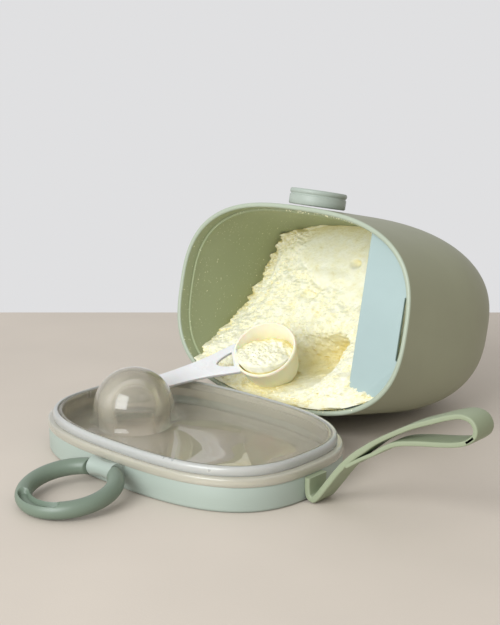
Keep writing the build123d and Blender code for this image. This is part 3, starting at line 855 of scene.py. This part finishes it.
def strap_band(points, thick_start, thick_end, change, half_width=5.7):
    """Points and faces of a band with rounded edges along an (x, z) line."""
    line = curve_points(points)
    verts = []
    travelled, change_length, quarter_steps = 0.0, 12.0, 4
    for index, here in enumerate(line):
        before, after = line[max(index - 1, 0)], line[min(index + 1, len(line) - 1)]
        along = (after - before).normalized()
        across = Vector((-along.y, along.x))
        if index:
            travelled += (here - line[index - 1]).length
        half_thick = mix(thick_start, thick_end, smooth((travelled - change) / change_length)) / 2
        soft = half_thick * 0.55
        for quarter, (side, level) in enumerate(((1, 1), (-1, 1), (-1, -1), (1, -1))):
            start = 90 * quarter
            centre = (side * (half_width - soft), level * (half_thick - soft))
            for y, n in arc(*centre, soft, start, start + 90, quarter_steps):
                place = here + across * n
                verts.append((place.x, y, place.y))
    return verts, tube_faces(len(line), 4 * (quarter_steps + 1))


def make_strap():
    upper = [(70.6, 10.4), (70.55, 6.0), (71.2, 2.8), (73.3, 1.75), (75.6, 3.7), (80.3, 9.9), (86.5, 18.0),
             (92.6, 24.5), (98.7, 29.6), (103.5, 33.4), (110.4, 37.9), (118.9, 42.9), (127.2, 46.8),
             (135.3, 50.4), (141.0, 52.1), (145.2, 51.4), (147.2, 48.6), (146.6, 45.6), (143.7, 43.0)]
    lower = [(146.6, 45.6), (143.7, 43.0), (139.5, 41.2), (133.0, 39.6), (121.9, 37.4), (113.4, 35.1),
             (107.6, 32.0), (102.3, 28.2), (97.0, 25.0), (90.0, 20.2)]
    verts, faces = strap_band(upper, 2.7, 2.0, 44.0)
    more, more_faces = strap_band(lower, 2.0, 1.5, 40.0)
    first = len(verts)
    verts += more
    faces += [tuple(first + index for index in face) for face in more_faces]
    return new_piece("carry_strap", verts, faces, LID, "strap", 50)


# ---- Scoop ----------------------------------------------------------------------------
SCOOP_CENTRE = LID_ORIGIN + Vector((-9.0, 58.2, 36.0)) * MM
SCOOP_NORMAL = Vector((0.19, -0.642, 0.742)).normalized()
SCOOP_ALONG = Vector((-0.739, -0.591, -0.322))
SCOOP_ALONG = (SCOOP_ALONG - SCOOP_NORMAL * SCOOP_ALONG.dot(SCOOP_NORMAL)).normalized()
SCOOP = placed(SCOOP_CENTRE, SCOOP_ALONG, SCOOP_NORMAL.cross(SCOOP_ALONG), SCOOP_NORMAL)


def cup_profile():
    outer, base, depth, wall = SCOOP_RADIUS, SCOOP_BASE_RADIUS, SCOOP_DEPTH, SCOOP_WALL
    middle, foot, inner_foot = mix(base, outer, 0.5), 3.0, 1.8
    points = [(0.02, -depth), (base * 0.5, -depth)]
    points += arc(base - foot, foot - depth, foot, 270, 352, 7)
    points += [(middle, -depth / 2), (outer - 0.1, -1.6), (outer + 0.1, -1.0), (outer, -0.35)]
    points += [(outer - 0.35, 0.0), (outer - wall + 0.3, 0.0), (outer - wall, -0.35)]
    points += [(middle - wall, -depth / 2)]
    points += arc(base - wall - inner_foot, wall + inner_foot - depth, inner_foot, -8, -90, 5)
    points += [(base * 0.5, -depth + wall), (0.02, -depth + wall)]
    return points


def make_scoop():
    verts, faces = lathe(cup_profile(), 112)
    cup = new_piece("spoon_cup", verts, faces, SCOOP, "cup", 40)

    def both_sides(points):
        side = curve_points(points)
        return [(p.x, p.y) for p in side] + [(p.x, -p.y) for p in reversed(side[:-1])]

    outline = both_sides([(13.2, 8.6), (19.0, 7.6), (26.0, 6.2), (34.0, 5.1), (44.0, 4.4), (54.0, 4.1),
                          (57.5, 3.7), (59.4, 2.4), (60.0, 0.0)])
    hole = both_sides([(15.9, 4.1), (19.0, 3.3), (22.0, 2.0), (23.6, 0.8), (24.0, 0.0)])
    place = SCOOP @ Matrix.Translation((0, 0, -0.05))        # just under the cup's rim
    handle = outline_plate("spoon_handle", outline, 2.0, place, "scoop", 0.45, (hole,))
    return cup, handle


def make_scoop_powder():
    """Powder heaped in the cup, its face near level in the world and lumpy."""
    inner = SCOOP_RADIUS - SCOOP_WALL
    rings, around = 46, 150
    heap, levelled, lumpy, lumps_depth = 2.6, 0.62, 0.75, 5.0
    level = (SCOOP.to_3x3().inverted() @ Vector((0, 0, 1))).normalized()
    verts, faces = [(0, 0, clumps(0, 0, lumps_depth, lumpy))], []
    for ring in range(1, rings + 1):
        share = ring / rings
        for step in range(around):
            turn = 2 * math.pi * step / around
            x, y = inner * share * math.cos(turn), inner * share * math.sin(turn)
            tilt = (level.x * x + level.y * y) / level.z * levelled
            lift = clumps(x, y, lumps_depth, lumpy) * mix(1.0, 0.5, smooth((share - 0.8) / 0.2))
            z = lift - tilt - heap * share ** 2
            cup_share = min(max(1 + z / SCOOP_DEPTH, 0), 1)
            fit = mix(SCOOP_BASE_RADIUS, SCOOP_RADIUS, cup_share) - SCOOP_WALL + 0.25
            scale = min(1.0, fit / inner if share > 0.9 else mix(1.0, fit / inner, share))
            verts.append((x * scale, y * scale, max(z, -SCOOP_DEPTH + 2.5)))
    for step in range(around):
        faces.append((0, 1 + step, 1 + (step + 1) % around))
    for ring in range(rings - 1):
        a, b = 1 + ring * around, 1 + (ring + 1) * around
        for step in range(around):
            nxt = (step + 1) % around
            faces.append((a + step, b + step, b + nxt, a + nxt))
    edge, first = 1 + (rings - 1) * around, len(verts)
    for step in range(around):
        x, y, _ = verts[edge + step]
        verts.append((x * 0.8, y * 0.8, -SCOOP_DEPTH + 2.2))
    for step in range(around):
        nxt = (step + 1) % around
        faces.append((edge + step, first + step, first + nxt, edge + nxt))
    faces.append(tuple(range(first, first + around)))
    return new_piece("spoonful", verts, faces, SCOOP, "powder", 180)


# ---- Build ----------------------------------------------------------------------------
finish_piece(make_tub(), "container", "tub", "container_shell")
for piece in make_tub_hinge():
    finish_piece(piece, "container", "tub", "container_shell")
finish_piece(make_knob(), "container", "knob", "latch_knob")
finish_piece(make_leveller(), "container", "leveller", "leveller_plate")
powder = finish_piece(make_powder(), "container", "powder", "powder_bed")
crumbs = finish_piece(make_crumbs(), "container", "powder")
for piece in (powder, crumbs):
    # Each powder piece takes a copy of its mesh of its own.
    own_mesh(piece)
finish_piece(make_lid_band(), "lid", "band", "lid_shell")
for piece in make_lid_knuckles():
    finish_piece(piece, "lid", "band", "lid_shell")
finish_piece(make_flange(), "lid", "clear", "window_tray")
finish_piece(make_tray(), "lid", "clear", "window_tray")
finish_piece(make_seal(), "lid", "silicone", "lid_seal")
finish_piece(make_bracket(), "lid", "band", "ring_bracket")
finish_piece(make_ring(), "ring", "ring", "pull_ring")
strap = make_strap()
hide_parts("strap_root", "strap_loop")
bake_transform(strap)
for piece in make_scoop():
    finish_piece(piece, "scoop", "scoop_white", "scoop")
finish_piece(make_scoop_powder(), "scoop", "powder", "scoop_powder")
for name, look in (("lid_hinge_pin", "steel"), ("ring_pin", "steel"), ("strap_stud", "strap")):
    frame["nodes"][name].data.materials.clear()
    frame["nodes"][name].data.materials.append(MATERIALS[look])


# ---- Floor, light and camera ----------------------------------------------------------
def make_stage():
    camera_place = LID_ORIGIN + Vector((0.3716, -0.3708, 0.1964))
    heading, pitch = math.radians(42.25), math.radians(76.02)
    forward = Vector((-math.sin(heading), math.cos(heading), 0))
    aside = Vector((forward.y, -forward.x, 0))
    ground = Vector((camera_place.x, camera_place.y, 0))
    far, near, half = 0.789, -0.6, 1.3
    corners = ((near, -half), (near, half), (far, half), (far, -half))
    mesh = bpy.data.meshes.new("table")
    mesh.from_pydata([ground + forward * d + aside * s for d, s in corners], [], [(0, 1, 2, 3)])
    table = bpy.data.objects.new("table", mesh)
    bpy.context.scene.collection.objects.link(table)
    made, tree, shader = material("table_top")
    tone = ramp_node(tree, noise_node(tree, 7.0, 3.0), [
        (0.35, (0.560, 0.500, 0.430)), (0.65, (0.600, 0.535, 0.460))])
    tree.links.new(tone, shader.inputs["Base Color"])
    bump_link(tree, shader, noise_node(tree, 900.0), 0.00004)
    shader.inputs["Roughness"].default_value = 0.6
    table.data.materials.append(made)

    camera = bpy.data.objects.new("camera", bpy.data.cameras.new("camera"))
    camera.data.lens = 72.5
    camera.data.sensor_width = 36.0
    camera.data.sensor_fit = "AUTO"
    camera.location = camera_place
    camera.rotation_euler = (pitch, 0, heading)
    bpy.context.scene.collection.objects.link(camera)
    bpy.context.scene.camera = camera
    return forward, aside


def add_area(name, place, target, size, power, color):
    light = bpy.data.objects.new(name, bpy.data.lights.new(name, "AREA"))
    light.data.shape = "RECTANGLE"
    light.data.size, light.data.size_y = size
    light.data.energy = power
    light.data.color = color
    light.location = place
    light.rotation_euler = (Vector(target) - Vector(place)).to_track_quat("-Z", "Y").to_euler()
    bpy.context.scene.collection.objects.link(light)


def make_lights(forward, aside):
    centre = LID_ORIGIN + Vector((0, 0.04, 0.05))
    window = centre - aside * 0.62 - forward * 0.85 + Vector((0, 0, 0.50))
    add_area("window", window, centre, (0.7, 0.8), 13.0, (0.94, 0.97, 1.0))
    world = bpy.data.worlds.new("room")
    world.use_nodes = True
    tree = world.node_tree
    toward = add_node(tree, "ShaderNodeVectorMath", operation="DOT_PRODUCT")
    toward.inputs[1].default_value = aside
    tree.links.new(place_socket(tree, "Generated"), toward.inputs[0])
    walls = ramp_node(tree, toward.outputs["Value"], [
        (0.30, (0.745, 0.745, 0.755)), (0.85, (0.50, 0.47, 0.42))])
    back = tree.nodes["Background"]
    tree.links.new(walls, back.inputs["Color"])
    back.inputs["Strength"].default_value = 1.0
    bpy.context.scene.world = world
    bpy.context.scene.view_settings.view_transform = "Standard"


make_lights(*make_stage())
